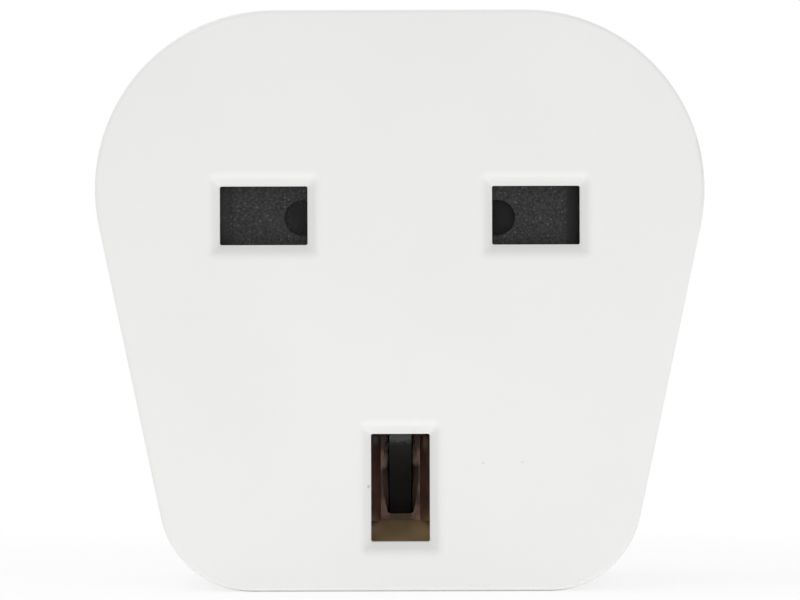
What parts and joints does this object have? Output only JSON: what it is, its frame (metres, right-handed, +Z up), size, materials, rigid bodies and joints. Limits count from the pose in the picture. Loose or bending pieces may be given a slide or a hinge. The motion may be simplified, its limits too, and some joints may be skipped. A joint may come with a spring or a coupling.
{
  "type": "travel adapter",
  "caption": "Shield-shaped white travel adapter with a shuttered earthed socket on its face and a flat-blade earthed plug on its back.",
  "frame": {"origin": "middle of the flat rear face, which seats on the wall outlet, at half the body's height", "axes": "+X right as the socket is seen, +Y from the socket face to the wall, +Z up as in the picture"},
  "size_m": [0.0496, 0.0514, 0.0474],
  "materials": {
    "white_shell": "white moulded plastic, satin gloss",
    "white_cover": "white moulded plastic, fine matt grain",
    "carrier_plastic": "dark moulded plastic",
    "dark_shutter": "near-black moulded plastic, grained",
    "spring_steel": "drawn spring wire",
    "clip_brass": "rolled brass strip, darkened",
    "plated_plug": "nickel-plated brass",
    "rivet_brass": "brass rivet",
    "screw_steel": "zinc-plated steel"
  },
  "bodies": {
    "adapter": {"socket_housing": "white_shell", "rear_cover": "white_cover", "contact_carrier": "carrier_plastic", "shutter_spring": "spring_steel", "live_clip": "clip_brass", "neutral_clip": "clip_brass", "earth_clip": "clip_brass", "live_blade": "plated_plug", "neutral_blade": "plated_plug", "ground_pin": "plated_plug", "live_rivet": "rivet_brass", "neutral_rivet": "rivet_brass", "cover_screws": "screw_steel"},
    "shutter": {"shutter": "dark_shutter"}
  },
  "joints": [
    {"name": "shutter_slide", "type": "slide", "parent": "adapter", "child": "shutter", "axis": [0, 0, 1], "range_m": [0, 0.00679], "stiffness_N_per_m": 120, "springref_m": -0.006, "deforming": ["shutter_spring"]}
  ]
}
